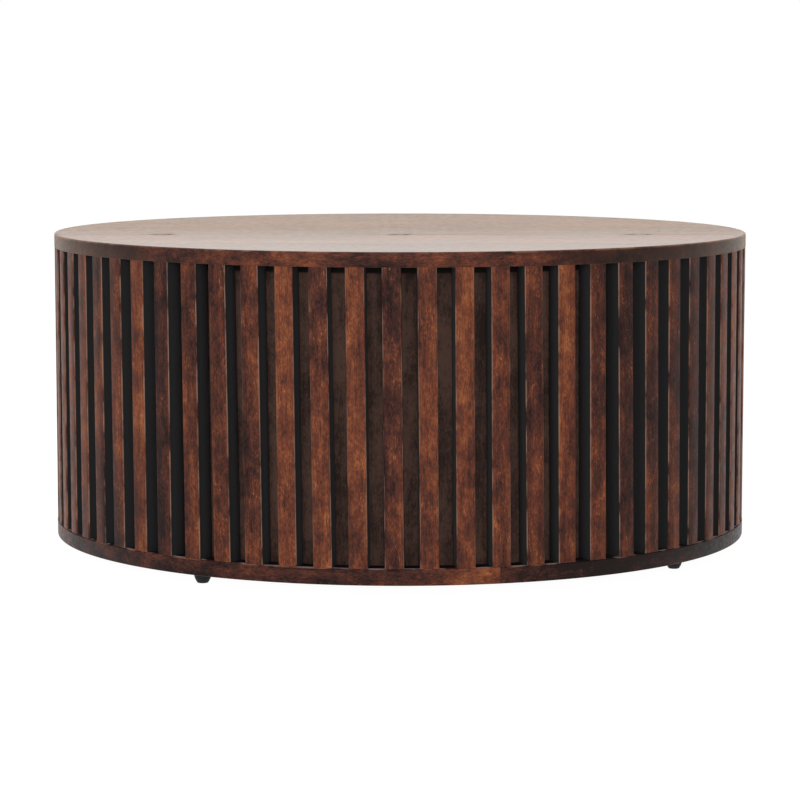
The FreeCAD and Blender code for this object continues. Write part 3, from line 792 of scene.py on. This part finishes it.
# The screws: zinc-plated steel with a flat head and a cross recess, driven up from below.
# Twelve go through the upper ring, ten through the battens and one through each foot.
def screw(length):
    """One screw with its seat at nought, its head below and its shank above."""
    head_radius, head_height, shank_radius, point_radius = 0.00425, 0.003, 0.00225, 0.0004
    chamfer, chamfer_height, point_height = 0.0005, 0.0006, 0.004
    recess_reach, recess_half, recess_depth, bed_share = 0.0022, 0.00055, 0.0018, 0.6
    sides = 24
    bm = bmesh.new()
    rings = []
    for radius, height in ((head_radius - chamfer, -head_height),
                           (head_radius, -head_height + chamfer_height), (head_radius, 0),
                           (shank_radius, 0), (shank_radius, length - point_height),
                           (point_radius, length)):
        rings.append([bm.verts.new((radius * math.cos(2 * math.pi * side / sides),
                                    radius * math.sin(2 * math.pi * side / sides), height))
                      for side in range(sides)])
    for lower, upper in zip(rings, rings[1:]):
        for side in range(sides):
            after = (side + 1) % sides
            bm.faces.new((lower[side], lower[after], upper[after], upper[side]))
    bm.faces.new(rings[-1])
    # The cross recess, narrower at its bed than at its mouth
    arm, half = recess_reach, recess_half
    corners = [(arm, -half), (arm, half), (half, half), (half, arm), (-half, arm), (-half, half),
               (-arm, half), (-arm, -half), (-half, -half), (-half, -arm), (half, -arm),
               (half, -half)]
    mouth = [bm.verts.new((x, y, -head_height)) for x, y in corners]
    bed = [bm.verts.new((bed_share * x, bed_share * y, -head_height + recess_depth))
           for x, y in corners]
    for place in range(len(corners)):
        after = (place + 1) % len(corners)
        bm.faces.new((mouth[place], mouth[after], bed[after], bed[place]))
    bm.faces.new(bed)
    rim = [bm.edges.get((ring[side], ring[(side + 1) % len(ring)])) for ring in (rings[0], mouth)
           for side in range(len(ring))]
    bmesh.ops.triangle_fill(bm, edges=rim, use_beauty=True)
    return closed_mesh(bm)


# Zinc plating: a pale grey metal, a little brighter and duller in clouds 4 mm wide
zinc = empty_material("zinc_plated_steel")
tree = zinc.node_tree
place = add_node(tree, "ShaderNodeTexCoord").outputs["Object"]
cloud = add_node(tree, "ShaderNodeTexNoise", {"Scale": 1 / 0.004, "Detail": 3, "Vector": place})
shine = add_node(tree, "ShaderNodeMapRange", {"To Min": 0.22, "To Max": 0.42, "Value": cloud})
plating = add_node(tree, "ShaderNodeMix", {
    "data_type": "RGBA", 0: cloud, 6: linear("#B9BBBC"), 7: linear("#8F9294")}).outputs[2]
surface = add_node(tree, "ShaderNodeBsdfPrincipled", {
    "Metallic": 1.0, "Base Color": plating, "Roughness": shine})
add_node(tree, "ShaderNodeOutputMaterial", {"Surface": surface})

# The tree: a screw on each spot, driven to a random turn
tree = bpy.data.node_groups.new("screws_on_their_spots", "GeometryNodeTree")
screw_inputs = {}
for name, kind in (("Geometry", "Geometry"), ("Screw", "Object"), ("Seed", "Int"),
                   ("Material", "Material")):
    socket = tree.interface.new_socket(name, in_out="INPUT", socket_type=f"NodeSocket{kind}")
    screw_inputs[name] = socket.identifier
tree.interface.new_socket("Geometry", in_out="OUTPUT", socket_type="NodeSocketGeometry")
given = add_node(tree, "NodeGroupInput").outputs
one = add_node(tree, "GeometryNodeObjectInfo", {"Object": given["Screw"]}).outputs["Geometry"]
driven = add_node(tree, "FunctionNodeRandomValue", {
    "data_type": "FLOAT", 3: math.pi, "Seed": given["Seed"]}).outputs[1]
turn = add_node(tree, "ShaderNodeCombineXYZ", {"Z": driven})
placed = add_node(tree, "GeometryNodeInstanceOnPoints", {
    "Points": given["Geometry"], "Instance": one, "Rotation": turn})
real = add_node(tree, "GeometryNodeRealizeInstances", {"Geometry": placed})
plated = add_node(tree, "GeometryNodeSetMaterial", {
    "Geometry": real, "Material": given["Material"]})
add_node(tree, "NodeGroupOutput", {0: plated})

counterbore = 0.005
seat_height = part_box("upper_ring_segment_1")[0].z + counterbore
ring_screw_circle = 0.386
ring_screw_angles = [first_joint + math.radians(15 + 30 * turn) for turn in range(12)]
last_batten_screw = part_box("top_batten_right")[1].y - 0.014
ring_spots = [(ring_screw_circle * math.cos(angle), ring_screw_circle * math.sin(angle),
               seat_height) for angle in ring_screw_angles]
batten_spots = [(side * plank_width / 2, place, seat_height) for side in (-1, 1)
                for place in (-last_batten_screw, -plank_width, 0, plank_width, last_batten_screw)]
foot_spots = [(foot_circle * math.cos(angle), foot_circle * math.sin(angle), foot_recess)
              for angle in foot_angles]
for node, length, spots, seed in (("top_ring_screws", 0.024, ring_spots, 1),
                                  ("batten_screws", 0.024, batten_spots, 2),
                                  ("foot_screws", 0.021, foot_spots, 3)):
    pattern = bpy.data.objects.new("one_screw", screw(length))
    mesh = laid_out(tree, {screw_inputs["Screw"]: pattern, screw_inputs["Seed"]: seed,
                           screw_inputs["Material"]: zinc}, spots)
    bpy.data.objects.remove(pattern)
    finished(mesh, f"driven_{node}", node, 35)
